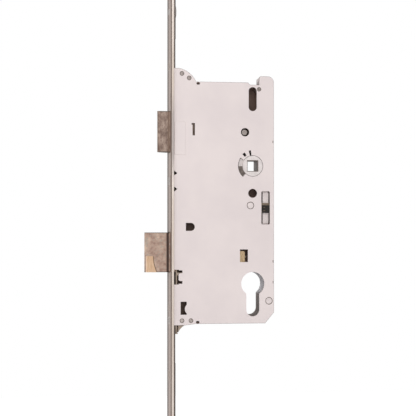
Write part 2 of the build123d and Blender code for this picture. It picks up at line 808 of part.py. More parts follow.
def coil_spring(x_start, x_end, z, radius, wire, turns, name):
    # A wire wound round a line along X. Each quarter turn is a biarc: two arcs that meet in line
    rise = (x_end - x_start - 2 * wire) / (2 * pi * turns)

    def place(turned):
        return Vector(x_start + wire + rise * turned, radius * cos(turned), z + radius * sin(turned))

    def heading(turned):
        return Vector(rise, -radius * sin(turned), radius * cos(turned)).normalized()

    with BuildPart() as coil:
        with BuildLine() as path:
            for quarter in range(4 * turns):
                near, far = quarter * pi / 2, (quarter + 1) * pi / 2
                step = place(far) - place(near)
                headings = heading(near) + heading(far)
                along = step.dot(headings)
                spare = 4 - headings.dot(headings)
                arm = (-along + sqrt(along ** 2 + spare * step.dot(step))) / spare
                near_corner = place(near) + heading(near) * arm
                far_corner = place(far) - heading(far) * arm
                joint = (near_corner + far_corner) / 2
                TangentArc(place(near), joint, tangent=heading(near))
                TangentArc(joint, place(far), tangent=far_corner - near_corner)
        with BuildSketch(Plane(origin=place(0), z_dir=heading(0))):
            Circle(wire)
        sweep(path=path.line)
    marks = 24
    points = [place(2 * pi * n / marks) for n in range(marks * turns + 1)]
    gaps = [(points[i] - points[j]).length
            for i in range(len(points)) for j in range(i + marks // 2, len(points))]
    print(name, "least gap to itself", round(min(gaps) - 2 * wire, 2))
    save(coil.part, name)


# Springs of the latch and the follower. Each has a seat: a block between the two sheets, with a
# round rod along X that reaches into the coil's end
coil_wire = 0.5
coil_turns = 9
seat_length = 3.5
seat_rod_radius = 1.4
coil_gap = 0.2


def spring_seat(x_face, z, low, high, rod_length):
    # The block lies behind x_face, on the side that the rod doesn't point to
    block_end = x_face + seat_length * (1 if rod_length < 0 else -1)
    with BuildPart() as seat:
        with BuildSketch(facing(cavity)):
            block(min(x_face, block_end), max(x_face, block_end), low, high)
        extrude(amount=2 * cavity)
        with BuildSketch(Plane.YZ.offset(x_face)):
            with Locations((0, z)):
                Circle(seat_rod_radius)
        extrude(amount=rod_length)
    return seat.part


# Latch spring: between the tail's shoulder and its seat
latch_spring_z = 28.0
latch_coil_radius = 2.4
latch_seat_face = 38.0
latch_seat_low, latch_seat_high = 24.2, 33.0
latch_seat_rod = 13.0
coil_spring(tail_head_right + coil_gap, latch_seat_face - coil_gap, latch_spring_z,
            latch_coil_radius, coil_wire, coil_turns, "latch_spring")
save(spring_seat(latch_seat_face, latch_spring_z, latch_seat_low, latch_seat_high,
                 -latch_seat_rod), "latch_spring_seat")

# Follower spring: between its seat and the follower's lower arm
follower_spring_z = -11.9
follower_coil_radius = 2.6
follower_seat_face = 36.0
follower_coil_end = 67.3
follower_seat_low, follower_seat_high = -16.5, -8.0
follower_seat_rod = 14.0
coil_spring(follower_seat_face + coil_gap, follower_coil_end, follower_spring_z,
            follower_coil_radius, coil_wire, coil_turns, "follower_spring")
save(spring_seat(follower_seat_face, follower_spring_z, follower_seat_low, follower_seat_high,
                 follower_seat_rod), "follower_spring_seat")

# Guide pads above and below each bolt, just behind the faceplate and rods
pad_front = rod_back + free_gap
pad_height = 3.0


def guide_pad(x_end, low, high, near, far):
    with BuildPart() as pad:
        with BuildSketch(facing(far)):
            block(pad_front, x_end, low, high)
        extrude(amount=far - near)
    return pad.part


latch_pad_end = 14.0
latch_over, latch_under = latch_high + free_gap, latch_low - free_gap
latch_pad_over = guide_pad(latch_pad_end, latch_over, latch_over + pad_height,
                           near_layer[1] + free_gap + slide_gap, cavity)
latch_pad_under = guide_pad(latch_pad_end, latch_under - pad_height, latch_under, -cavity, cavity)
with BuildPart() as latch_guides:
    add(latch_pad_over)
    add(latch_pad_under)
save(latch_guides.part, "latch_guides")

bolt_pad_end = 11.0
bolt_under_height = 2.2
bolt_leg_width = 1.0
bolt_leg_length = 11.2
bolt_lip_height = 3.6
bolt_lip_far = -5.8
bolt_over, bolt_under = bolt_high + free_gap, bolt_low - free_gap
under_far = far_layer[0] - free_gap
bolt_pad_over = guide_pad(bolt_pad_end, bolt_over, bolt_over + pad_height, -cavity, cavity)
bolt_pad_under = guide_pad(bolt_pad_end, bolt_under - bolt_under_height, bolt_under, -cavity,
                           under_far)
bolt_pad_leg = guide_pad(pad_front + bolt_leg_width, bolt_under - bolt_leg_length, bolt_under,
                         -cavity, under_far)
bolt_pad_lip = guide_pad(pad_front + bolt_leg_width, bolt_under, bolt_under + bolt_lip_height,
                         -cavity, bolt_lip_far)
with BuildPart() as deadbolt_guides:
    add(bolt_pad_over)
    add(bolt_pad_under)
    add(bolt_pad_leg)
    add(bolt_pad_lip)
save(deadbolt_guides.part, "deadbolt_guides")

# Deadbolt insert: a hardened bar let into the head's near face, low down at its front, with its
# back edge flared towards the bottom
insert_front, insert_back, insert_foot = -19.0, -12.6, -9.9
insert_top = -70.4
insert_waist = (-12.1, -76.6)
insert_far = -2.0
insert_proud = 0.1
insert_round = 0.9
insert_bevel = 0.4
insert_fit = 0.03


def insert_outline(spare):
    with BuildSketch() as outline:
        with BuildLine():
            Polyline((insert_foot, bolt_low), (insert_front, bolt_low), (insert_front, insert_top),
                     (insert_back, insert_top))
            ThreePointArc((insert_back, insert_top), insert_waist, (insert_foot, bolt_low))
        make_face()
        if spare:
            offset(amount=spare, kind=Kind.INTERSECTION)
    return outline.sketch


with BuildPart() as deadbolt_insert:
    extrude(on_layer(insert_outline(0), insert_far), amount=bolt_half + insert_far + insert_proud)
    insert_rim = deadbolt_insert.faces().sort_by(Axis.Y)[0].edges().sort_by(Axis.X)
    fillet(insert_rim[0], insert_round)
    insert_rim = deadbolt_insert.faces().sort_by(Axis.Y)[0].edges().sort_by(Axis.X)
    chamfer(insert_rim[-1], insert_bevel)
save(deadbolt_insert.part, "deadbolt_insert")

# Deadbolt head: full thickness, its front slanted back to the far side, with the insert's pocket
# and the tail's slot
corner_round = 0.5
with BuildPart() as deadbolt_head:
    add(bolt_bar(bolt_nose, bolt_rear, bolt_low, bolt_high))
    with BuildSketch(Plane.XY.offset(bolt_low)) as plan:
        Polygon((bolt_nose, -bolt_half), (bolt_rear, -bolt_half), (bolt_rear, bolt_half),
                (bolt_nose + nose_slant, bolt_half), align=None)
        fillet(plan.vertices().sort_by(Axis.X)[:2], corner_round)
    extrude(amount=bolt_high - bolt_low, mode=Mode.INTERSECT)
    extrude(on_layer(insert_outline(insert_fit), insert_far), amount=bolt_half, mode=Mode.SUBTRACT)
    with BuildSketch(facing(middle_layer[1] + slide_gap / 2)):
        block(bolt_slot_front, bolt_rear + slide_gap, bolt_tail_low - slide_gap,
              bolt_tail_high + slide_gap)
    extrude(amount=middle_layer[1] - middle_layer[0] + slide_gap, mode=Mode.SUBTRACT)
    with BuildSketch(facing(bolt_half)):
        with Locations(*bolt_pin_places):
            Circle(bolt_pin_radius)
    extrude(amount=2 * bolt_half, mode=Mode.SUBTRACT)
save(deadbolt_head.part, "deadbolt_head")

# Deadbolt tail: its rack rests on top of the key gear
tail_pitch_line = key_z + pitch_radius
tail_front = bolt_slot_front + slide_gap
rack_start, rack_end = 26.0, 58.0
tail_bend = (20.0, 24.0)
tail_rear = 60.0
with BuildPart() as deadbolt_tail:
    with BuildSketch(facing(middle_layer[1])):
        with BuildLine():
            Polyline((tail_front, bolt_tail_low), (tail_bend[0], bolt_tail_low),
                     (tail_bend[1], tail_pitch_line + dedendum),
                     (tail_rear, tail_pitch_line + dedendum), (tail_rear, bolt_tail_high),
                     (tail_front, bolt_tail_high), (tail_front, bolt_tail_low))
        make_face()
        with Locations(*bolt_pin_places):
            Circle(bolt_pin_radius, mode=Mode.SUBTRACT)
        with Locations(Location((key_x, tail_pitch_line), -90)):
            add(rack_face(rack_start - key_x, rack_end - key_x, 0))
    extrude(amount=middle_layer[1] - middle_layer[0])
save(deadbolt_tail.part, "deadbolt_tail")
save(rods_across(bolt_pin_places, bolt_pin_radius, slide_gap - bolt_half, bolt_half - slide_gap),
     "deadbolt_pins")

# Follower: a square hole for the spindle, an arm for the latch, a lower arm that its spring
# pushes back, and a flange that the cover's arc slot shows
hub_half = case_half - slide_gap
flange_near, flange_far = -6.2, -5.0
flange_radius = 11.0
flange_angles = (134, 240)
stop_angles = (181, 226)
stop_radius = 11.3
stop_near = slide_gap - cavity
with BuildPart() as follower:
    with BuildSketch(facing(hub_half)):
        with Locations((backset, 0)):
            Circle(hub_radius)
    extrude(amount=2 * hub_half)
    for angle, reach in ((90 + arm_swing, arm_reach), (270 + arm_swing, lower_arm_reach)):
        with BuildSketch(facing(tail_half)):
            with Locations(Location((backset, 0), angle)):
                with Locations((reach / 2, 0)):
                    Rectangle(reach, arm_width)
                with Locations((reach, 0)):
                    Circle(arm_tip_radius)
        extrude(amount=2 * tail_half)
    with BuildSketch(facing(flange_far)):
        with Locations((backset, 0)):
            add(sector(hub_radius - free_gap, flange_radius, *flange_angles))
    extrude(amount=flange_far - flange_near)
    with BuildSketch(facing(case_half)):
        with Locations((backset, 0)):
            Rectangle(spindle_square, spindle_square)
    extrude(amount=2 * case_half, mode=Mode.SUBTRACT)
    hub_face = follower.faces().sort_by(Axis.Y)[0]
    chamfer(hub_face.edges().filter_by(GeomType.LINE), spindle_chamfer)
save(follower.part, "follower")

# Follower stop: a dark pad on the flange, just under the cover, which the cover's arc slot shows
with BuildPart() as follower_stop:
    with BuildSketch(facing(flange_near)):
        with Locations((backset, 0)):
            add(sector(hub_radius + slide_gap, stop_radius, *stop_angles))
    extrude(amount=flange_near - stop_near)
save(follower_stop.part, "follower_stop")

# Key gear: full thickness, so that the cylinder's cam, both slides' gears and the bolt mesh with it
with BuildPart() as key_gear:
    with BuildSketch(facing(far_layer[1])):
        with Locations((key_x, key_z)):
            add(gear_face(mesh_direction + 180.0 / teeth))
            Circle(gear_pin_radius + running_gap, mode=Mode.SUBTRACT)
    extrude(amount=far_layer[1] - near_layer[0])
save(key_gear.part, "key_gear")
save(rods_across([(key_x, key_z)], gear_pin_radius, slide_gap - cavity, case_half), "key_gear_pin")

# Reversing gear: turns against the key gear, so that the upper rod moves against the lower one.
# Its pin hangs from the cover, with a flange under the gear
turn_flange_radius = 3.4
turn_flange_thickness = 0.4
pin_far = near_layer[1] + slide_gap
with BuildPart() as reversing_gear:
    with BuildSketch(facing(near_layer[1])):
        with Locations((turn_x, turn_z)):
            add(gear_face(mesh_direction + 180.0))
            Circle(gear_pin_radius + running_gap, mode=Mode.SUBTRACT)
    extrude(amount=near_layer[1] - near_layer[0])
save(reversing_gear.part, "reversing_gear")
with BuildPart() as reversing_gear_pin:
    with BuildSketch(facing(pin_far)):
        with Locations((turn_x, turn_z)):
            Circle(gear_pin_radius)
    extrude(amount=pin_far + cavity)
    with BuildSketch(facing(pin_far + turn_flange_thickness)):
        with Locations((turn_x, turn_z)):
            Circle(turn_flange_radius)
    extrude(amount=turn_flange_thickness)
save(reversing_gear_pin.part, "reversing_gear_pin")

# Gear keeper: a thin plate just under the cover that keeps both gears on their pins, with a flag
# that the cover's square window shows
keeper_near = slide_gap - cavity
keeper_far = near_layer[0] - slide_gap
keeper_arm = 8.0
flag_left, flag_right, flag_low, flag_high = 46.5, 58.9, -78.5, -66.6
flag_round = 1.0
with BuildPart() as gear_keeper:
    with BuildSketch(facing(keeper_far)):
        with Locations(Location(((key_x + turn_x) / 2, (key_z + turn_z) / 2), mesh_direction)):
            SlotCenterToCenter(2 * pitch_radius, keeper_arm)
        block(flag_left, flag_right, flag_low, flag_high, flag_round)
        with Locations((key_x, key_z), (turn_x, turn_z)):
            Circle(gear_pin_radius + running_gap, mode=Mode.SUBTRACT)
    extrude(amount=keeper_far - keeper_near)
save(gear_keeper.part, "gear_keeper")

# Upper slide: a bar in the near layer, with its rack low down and its tooth in the upper rod
upper_line = turn_x - pitch_radius
upper_back = upper_line - dedendum
upper_head = rod_back + 2 * slide_gap
bar_left, rack_left = 16.5, 24.7
bar_low, bar_bend, bar_end = -28.0, -31.5, -70.5
bar_top, bar_bevel = 63.4, 2.3
head_right = 6.8
head_low, head_high = 62.7, 73.0
upper_rack_span = (-68.5, -40.5)
with BuildPart() as upper_slide:
    with BuildSketch(facing(near_layer[1])):
        with BuildLine():
            Polyline((rack_left, bar_end), (upper_back, bar_end), (upper_back, bar_top),
                     (bar_left + bar_bevel, bar_top), (bar_left, bar_top + bar_bevel),
                     (head_right, bar_top + bar_bevel), (head_right, head_high),
                     (upper_head, head_high), (upper_head, upper_tooth[1]),
                     (rod_front, upper_tooth[1]), (rod_front, upper_tooth[0]),
                     (upper_head, upper_tooth[0]), (upper_head, head_low),
                     (bar_left, head_low), (bar_left, bar_low), (rack_left, bar_bend),
                     (rack_left, bar_end))
        make_face()
        with Locations((upper_line, 0)):
            add(rack_face(*upper_rack_span, turn_z + tooth_pitch / 2))
    extrude(amount=near_layer[1] - near_layer[0])
save(upper_slide.part, "upper_slide")

# Lower slide: in the far layer, on the key gear's front side, with its tooth in the lower rod
lower_line = key_x - pitch_radius
lower_back = lower_line - dedendum
lower_left = 37.5
lower_high, lower_low = -64.0, -117.8
shelf_high, shelf_start, shelf_bend = -104.0, 34.0, -99.0
tooth_root = rod_back + wall
lower_rack_span = (-99.0, -66.0)
with BuildPart() as lower_slide:
    with BuildSketch(facing(far_layer[1])):
        with BuildLine():
            Polyline((lower_left, lower_high), (lower_back, lower_high), (lower_back, lower_low),
                     (upper_head, lower_low), (upper_head, shelf_high),
                     (shelf_start, shelf_high), (lower_left, shelf_bend),
                     (lower_left, lower_high))
        make_face()
        with Locations((lower_line, 0)):
            add(rack_face(*lower_rack_span, key_z))
    extrude(amount=far_layer[1] - far_layer[0])
    with BuildSketch(facing(far_layer[1])):
        block(rod_front, tooth_root, *lower_tooth)
    extrude(amount=lower_tooth_thickness)
save(lower_slide.part, "lower_slide")

# Selector: a small block on a thin plate, which slides in the cover's window over a fixed track.
# Two short slots in the block show the plate. The track has a raised middle, a little smaller than
# the window, and reaches the back wall past the window's ends
block_left, block_right, block_low, block_high = 72.6, 78.2, -36.7, -30.7
block_round = 0.5
block_slot_left, block_slot_right = 73.4, 75.6
block_slots = (-32.4, -34.8)
block_slot_height = 0.9
plate_near, plate_far = -6.4, -5.6
slider_left, slider_right, slider_low, slider_high = 71.1, 79.4, -36.7, -28.9
track_near, track_middle, track_far = -5.4, -4.6, -3.8
track_box = (73.4, 78.1, -44.8, -20.7)
track_round = 0.8
strip_low, strip_high = -55.0, -11.0
strip_foot = 6.0
with BuildPart() as selector_block:
    with BuildSketch(facing(plate_near)):
        block(block_left, block_right, block_low, block_high, block_round)
        for z in block_slots:
            block(block_slot_left, block_slot_right, z - block_slot_height / 2,
                  z + block_slot_height / 2, mode=Mode.SUBTRACT)
    extrude(amount=case_half + plate_near)
save(selector_block.part, "selector_block")
with BuildPart() as selector_plate:
    with BuildSketch(facing(plate_far)):
        block(slider_left, slider_right, slider_low, slider_high)
    extrude(amount=plate_far - plate_near)
save(selector_plate.part, "selector_plate")
with BuildPart() as selector_track:
    with BuildSketch(facing(track_far)):
        block(track_box[0], track_box[1], strip_low, strip_high)
        block(track_box[0], case_back - wall, strip_low, strip_low + strip_foot)
        block(track_box[0], case_back - wall, strip_high - strip_foot, strip_high)
    extrude(amount=track_far - track_middle)
    with BuildSketch(facing(track_middle)):
        block(*track_box, track_round)
    extrude(amount=track_middle - track_near)
save(selector_track.part, "selector_track")
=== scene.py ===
import bpy
import bmesh
import math
from mathutils import Matrix, Vector


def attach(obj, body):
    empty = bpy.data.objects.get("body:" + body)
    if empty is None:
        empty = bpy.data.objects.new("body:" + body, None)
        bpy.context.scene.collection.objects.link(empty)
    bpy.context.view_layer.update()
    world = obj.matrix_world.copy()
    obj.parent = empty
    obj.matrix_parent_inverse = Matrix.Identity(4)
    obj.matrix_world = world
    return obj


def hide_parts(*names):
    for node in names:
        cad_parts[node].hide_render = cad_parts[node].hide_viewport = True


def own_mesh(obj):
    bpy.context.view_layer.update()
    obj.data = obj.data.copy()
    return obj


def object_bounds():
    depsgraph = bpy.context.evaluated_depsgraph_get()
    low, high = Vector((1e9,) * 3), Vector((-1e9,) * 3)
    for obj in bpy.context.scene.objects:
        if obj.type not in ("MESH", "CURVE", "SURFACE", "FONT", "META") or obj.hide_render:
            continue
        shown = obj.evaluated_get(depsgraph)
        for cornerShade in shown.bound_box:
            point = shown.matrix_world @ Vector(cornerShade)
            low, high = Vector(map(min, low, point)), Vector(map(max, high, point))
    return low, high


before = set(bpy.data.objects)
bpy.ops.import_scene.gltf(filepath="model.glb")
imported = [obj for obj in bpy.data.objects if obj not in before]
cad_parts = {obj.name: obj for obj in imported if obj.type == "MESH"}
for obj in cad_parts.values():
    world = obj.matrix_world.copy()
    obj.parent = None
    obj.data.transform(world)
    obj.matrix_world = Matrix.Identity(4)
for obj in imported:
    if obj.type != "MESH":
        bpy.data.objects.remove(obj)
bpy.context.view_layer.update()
print("frame loaded:", len(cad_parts), "nodes")

mm = 0.001


# Nodes and colours

def linear(hexColour):
    parts = [int(hexColour[i:i + 2], 16) / 255 for i in (1, 3, 5)]
    return [p / 12.92 if p <= 0.04045 else ((p + 0.055) / 1.055) ** 2.4 for p in parts] + [1.0]


def addNode(tree, kind, settings=None):
    # settings are inputs, by name or number, or the node's own options; a socket is linked
    node = tree.nodes.new(kind)
    for key, value in (settings or {}).items():
        if isinstance(value, bpy.types.NodeSocket):
            tree.links.new(value, node.inputs[key])
        elif key == "stops":  # a ramp's places, each with a hex colour or a grey level
            elements = node.color_ramp.elements
            while len(elements) < len(value):
                elements.new(0.5)
            for element, (place, colour) in zip(elements, value):
                element.position = place
                element.color = linear(colour) if isinstance(colour, str) else [colour] * 3 + [1.0]
        elif isinstance(key, int) or key in node.inputs:
            node.inputs[key].default_value = linear(value) if isinstance(value, str) else value
        else:
            setattr(node, key, value)
    return node


def blend(tree, amount, under, over):
    # Colour under, covered by over as far as amount says; both are sockets or hex colours. Inputs 6
    # and 7 and output 2 are the node's colour sockets
    return addNode(tree, "ShaderNodeMix",
                   {"data_type": "RGBA", 0: amount, 6: under, 7: over}).outputs[2]


def calculate(tree, operation, first, second=0.0):
    # first is a socket, second a socket or a number
    return addNode(tree, "ShaderNodeMath", {"operation": operation, 0: first, 1: second}).outputs[0]


def ramp(tree, value, stops):
    return addNode(tree, "ShaderNodeValToRGB", {"stops": stops, "Fac": value}).outputs[0]


def addBump(tree, surface, height, strength, depth):
    # Fine unevenness of the surface, depth in millimetres
    bump = addNode(tree, "ShaderNodeBump", {"Strength": strength, "Distance": depth * mm, "Height": height})
    tree.links.new(bump.outputs[0], surface.inputs["Normal"])


def newMaterial(name, finish):
    material = bpy.data.materials.new(name)
    material.use_nodes = True
    tree = material.node_tree
    tree.nodes.clear()
    surface = addNode(tree, "ShaderNodeBsdfPrincipled", finish)
    addNode(tree, "ShaderNodeOutputMaterial", {"Surface": surface.outputs[0]})
    return material, tree, surface


def stretchedNoise(tree, size, detail, roughness=0.5):
    # Noise on Object coordinates; size is one patch's length along X, Y and Z, in millimetres
    where = addNode(tree, "ShaderNodeTexCoord").outputs["Object"]
    placed = addNode(tree, "ShaderNodeMapping", {"Scale": [1 / (s * mm) for s in size], "Vector": where})
    noise = {"Scale": 1.0, "Detail": detail, "Roughness": roughness, "Vector": placed.outputs[0]}
    return addNode(tree, "ShaderNodeTexNoise", noise).outputs[0]


def inBand(tree, name):
    # 1 where the surface lies inside the named band, fading to 0 round its two ends
    axis, low, high, soft = bands[name]
    where = addNode(tree, "ShaderNodeTexCoord").outputs["Object"]
    place = addNode(tree, "ShaderNodeSeparateXYZ", {"Vector": where}).outputs[axis]
    middle, half = (low + high) / 2 * mm, (high - low) / 2 * mm
    away = calculate(tree, "ABSOLUTE", calculate(tree, "SUBTRACT", place, middle))
    fade = {"Value": away, "From Min": half - soft * mm, "From Max": half + soft * mm,
            "To Min": 1.0, "To Max": 0.0}
    return addNode(tree, "ShaderNodeMapRange", fade).outputs[0]


def turnedTo(tree, axis, stops, way=0):
    # How far the surface faces along an Object axis, through stops: way is 1, -1 or 0 for both
    where = addNode(tree, "ShaderNodeTexCoord").outputs["Normal"]
    along = addNode(tree, "ShaderNodeSeparateXYZ", {"Vector": where}).outputs[axis]
    turned = calculate(tree, "MULTIPLY", along, way) if way else calculate(tree, "ABSOLUTE", along)
    return ramp(tree, turned, stops)


# Materials

# Where the finishes change: an Object axis, a low and a high end along it, and how far the change
# is spread to both sides of each end, in millimetres
bands = {
    "acrossTheCase": ("Y", -8.02, 8.02, 0.01),
    "betweenItsSheets": ("Y", -6.45, 6.45, 0.02),
    "hornCorner": ("X", 70.6, 72.2, 0.3),
    "hornFoot": ("Z", 60, 66.2, 2.2),
    "roundTheCylinder": ("X", 56, 80, 2),
    "cylinderLeg": ("Z", -119, -97, 1.5),
    "cylinderTop": ("Z", -99, -80, 1.5),
    "squareHoleWidth": ("X", 60.4, 69.6, 0.1),
    "squareHoleHeight": ("Z", -4.6, 4.6, 0.1),
    "nearTheCase": ("Z", -250, 200, 20),
    "besideTheBolts": ("Z", -4, 50, 12),
    "flatOfTheFront": ("Y", -8.7, 8.7, 0.4),
    "farPartOfTheFront": ("Y", 0.8, 14, 3),
    "countersinks": ("Y", -5, 5, 0.2),
    "withinItsSides": ("Y", -9.5, 9.5, 0.2),
    "latchRoot": ("X", -1.7, -0.7, 0.25),
    "deadboltRoot": ("X", -2.7, -0.8, 0.25),
    "rollerNose": ("X", -10, -7.9, 0.3),
}


def zincPlatedSheet(name, inside=None):
    # Pressed steel sheet under matte zinc: pale, slightly rosy and faintly cloudy, with painted shade,
    # greyer than the faces, on its rounded edges and cut walls. Inside is a darker brown on a face that looks
    # towards the cover; round the cylinder that face is painted pale as lit on the top part and darker as
    # shade along the leg, and painted shade darkens the corner beside the horn
    material, tree, surface = newMaterial(name, {"Metallic": 0.2, "Roughness": 0.45})
    cloud = stretchedNoise(tree, size=(26, 26, 30), detail=3)
    tone = ramp(tree, cloud, [(0.35, "#ebdfdd"), (0.65, "#f1e5e2")])
    sheets = calculate(tree, "SUBTRACT", inBand(tree, "acrossTheCase"), inBand(tree, "betweenItsSheets"))
    # Painted shade, grey, on the rounded edges and cut walls of the cover and the far sheet
    edge = calculate(tree, "MULTIPLY", turnedTo(tree, "Y", [(0.72, 1.0), (0.86, 0.0)]), sheets)
    tone = blend(tree, edge, tone, "#80766f")
    if inside:
        # Painted shade in the corner beside the horn
        cornerShade = calculate(tree, "MULTIPLY", inBand(tree, "hornCorner"), inBand(tree, "hornFoot"))
        tone = blend(tree, cornerShade, tone, "#5d524d")
        insideTone = ramp(tree, stretchedNoise(tree, size=(9, 9, 14), detail=4), inside)
        # Round the cylinder: a pale tone painted as light on the top part, and painted shade along the leg
        for band, paintedLighting in (("cylinderLeg", "#98928e"), ("cylinderTop", "#eeeff3")):
            beside = calculate(tree, "MULTIPLY", inBand(tree, "roundTheCylinder"), inBand(tree, band))
            insideTone = blend(tree, beside, insideTone, paintedLighting)
        tone = blend(tree, turnedTo(tree, "Y", [(0.4, 0.0), (0.6, 1.0)], way=-1), tone, insideTone)
    tree.links.new(tone, surface.inputs["Base Color"])
    grain = stretchedNoise(tree, size=(0.6, 0.6, 0.6), detail=2)
    addBump(tree, surface, grain, strength=0.3, depth=0.02)
    return material


def sinteredFollower():
    # Sintered steel hub under zinc: pale faces, bare brown-grey walls in the square hole
    material, tree, surface = newMaterial("sinteredFollower", {"Metallic": 0.3, "Roughness": 0.5})
    cloud = stretchedNoise(tree, size=(3, 3, 3), detail=3)
    face = ramp(tree, cloud, [(0.35, "#ded5d2"), (0.65, "#eae1de")])
    bare = ramp(tree, cloud, [(0.3, "#6f625a"), (0.7, "#857870")])
    inHole = calculate(tree, "MULTIPLY", inBand(tree, "squareHoleWidth"), inBand(tree, "squareHoleHeight"))
    walls = calculate(tree, "MULTIPLY", turnedTo(tree, "Y", [(0.75, 1.0), (0.9, 0.0)]), inHole)
    tree.links.new(blend(tree, walls, face, bare), surface.inputs["Base Color"])
    addBump(tree, surface, cloud, strength=0.4, depth=0.03)
    return material


def satinStripSteel():
    # Rolled strip under a warm satin plating: fine lines along its length, darker and duller on its far half,
    # with a painted highlight in the countersinks. Its sides are painted lighter than its front, as a lit
    # side beside a shaded
    # front: creamier far from the case, with painted shade on them beside the bolts. Near the case its
    # rounded edges carry painted shade
    usual, dull = {"Metallic": 0.45, "Specular IOR Level": 0.5}, {"Metallic": 0.1, "Specular IOR Level": 0.05}
    material, tree, surface = newMaterial("satinStripSteel", {**usual, "Roughness": 0.38})
    near, farPart = inBand(tree, "nearTheCase"), inBand(tree, "farPartOfTheFront")
    lines = stretchedNoise(tree, size=(1.1, 1.1, 90), detail=4, roughness=0.6)
    patches = stretchedNoise(tree, size=(40, 40, 55), detail=3)
    # The front and the sides are lit and shaded copies of one plating: the front painted darker as shaded,
    # the sides lighter as lit
    front = ramp(tree, lines, [(0.3, "#8c7466"), (0.5, "#a38a7b"), (0.7, "#b89f90")])
    # Painted shade on the rounded edges, near the case only
    roundedEdgeShade = ramp(tree, lines, [(0.3, "#70625a"), (0.7, "#8f8077")])
    side = ramp(tree, patches, [(0.38, "#cdbfb2"), (0.62, "#e4d8cf")])
    # Painted shade on the sides beside the bolts; far from the case the sides get a creamier painted
    # highlight
    side = blend(tree, inBand(tree, "besideTheBolts"), side, "#aea49f")
    side = blend(tree, near, "#ecdabc", side)
    tone = blend(tree, inBand(tree, "flatOfTheFront"), roundedEdgeShade, front)
    tone = blend(tree, near, front, tone)
    tone = blend(tree, farPart, tone, "#6e5d53")
    # Painted highlight in the countersinks
    countersinkHighlight = calculate(tree, "MULTIPLY", turnedTo(tree, "X", [(0.6, 1.0), (0.9, 0.0)]),
                     inBand(tree, "countersinks"))
    tone = blend(tree, countersinkHighlight, tone, "#dcd0c6")
    outer = calculate(tree, "SUBTRACT", turnedTo(tree, "Y", [(0.9, 0.0), (0.985, 1.0)]),
                      inBand(tree, "withinItsSides"))
    tree.links.new(blend(tree, outer, tone, side), surface.inputs["Base Color"])
    for socket in usual:
        level = {"Value": farPart, "To Min": usual[socket], "To Max": dull[socket]}
        tree.links.new(addNode(tree, "ShaderNodeMapRange", level).outputs[0], surface.inputs[socket])
    addBump(tree, surface, lines, strength=0.4, depth=0.02)
    return material


def rolledSteel(name, stops, metallic, patch):
    # Plain steel of the small pieces: fine lines or patches, slowly changing from dull to bright
    material, tree, surface = newMaterial(name, {"Metallic": metallic, "Roughness": 0.42})
    lines = stretchedNoise(tree, patch, detail=4, roughness=0.6)
    tree.links.new(ramp(tree, lines, stops), surface.inputs["Base Color"])
    addBump(tree, surface, lines, strength=0.4, depth=0.02)
    return material


def drawnRodSteel():
    # Flat drawn rod: fine lines along its length, dark near the case, tan further out
    material, tree, surface = newMaterial("drawnRodSteel", {"Metallic": 0.45, "Roughness": 0.42})
    lines = stretchedNoise(tree, size=(1.0, 1.0, 60), detail=4, roughness=0.6)
    nearTone = ramp(tree, lines, [(0.3, "#483e39"), (0.7, "#5e534d")])
    usual = ramp(tree, lines, [(0.3, "#706252"), (0.7, "#8c7e6a")])
    tone = blend(tree, inBand(tree, "nearTheCase"), usual, nearTone)
    tree.links.new(tone, surface.inputs["Base Color"])
    addBump(tree, surface, lines, strength=0.4, depth=0.02)
    return material


def platedCasting(name, body, spots, rootShadow):
    # Cast steel under thin warm plating: mottled, spotted where the plating is thin, with painted shade on
    # the faces that look up and down, and a painted shadow of the faceplate at the root where it slides
    # through it
    material, tree, surface = newMaterial(name, {"Metallic": 0.45, "Roughness": 0.42})
    mottle = stretchedNoise(tree, body["patch"], detail=5, roughness=0.62)
    fine = stretchedNoise(tree, spots["patch"], detail=3, roughness=0.55)
    tone = ramp(tree, mottle, body["stops"])
    tone = blend(tree, ramp(tree, fine, spots["seen"]), tone, spots["colour"])
    # Painted shade on the faces that look up and down
    tone = blend(tree, turnedTo(tree, "Z", [(0.25, 0.0), (0.6, 1.0)]), tone, body["edge"])
    # Painted shadow cast by the faceplate over the root of the bolt
    tone = blend(tree, inBand(tree, rootShadow["band"]), tone, rootShadow["colour"])
    tree.links.new(tone, surface.inputs["Base Color"])
    addBump(tree, surface, mottle, strength=0.5, depth=0.08)
    return material


def turnedRollerSteel():
    # Steel turned on a lathe: brown with faint rings round its axis, a few dull patches, a dark
    # nose, and a painted highlight along each side
    material, tree, surface = newMaterial("turnedRollerSteel", {"Metallic": 0.9, "Roughness": 0.27})
    rings = stretchedNoise(tree, size=(0.5, 30, 30), detail=3)
    patches = stretchedNoise(tree, size=(2.5, 2.5, 2.5), detail=4)
    tone = ramp(tree, rings, [(0.35, "#7c6c62"), (0.65, "#95857a")])
    tone = blend(tree, ramp(tree, patches, [(0.5, 0.0), (0.7, 0.6)]), tone, "#6b5d54")
    # Painted highlight along the sides, on the faces that look across the strip
    tone = blend(tree, turnedTo(tree, "Z", [(0.08, 0.85), (0.42, 0.0)]), tone, "#c0b2a9")
    tone = blend(tree, inBand(tree, "rollerNose"), tone, "#5f5149")
    tree.links.new(tone, surface.inputs["Base Color"])
    addBump(tree, surface, rings, strength=0.3, depth=0.02)
    return material


def groundInsertSteel():
    # Hardened bar, ground flat: tan, with a painted highlight on its rounded front edge and painted shade on
    # its bevel
    material, tree, surface = newMaterial("groundInsertSteel", {"Metallic": 0.45, "Roughness": 0.36})
    lines = stretchedNoise(tree, size=(0.7, 0.7, 5), detail=4)
    tone = ramp(tree, lines, [(0.3, "#bd9a7a"), (0.5, "#cfac8c"), (0.7, "#d8bb9c")])
    # Painted highlight on faces that look along -X, painted shade on those that look along +X
    for way, colour in ((-1, "#ffe9d6"), (1, "#7a6048")):
        tone = blend(tree, turnedTo(tree, "X", [(0.3, 0.0), (0.5, 1.0)], way), tone, colour)
    tree.links.new(tone, surface.inputs["Base Color"])
    return material


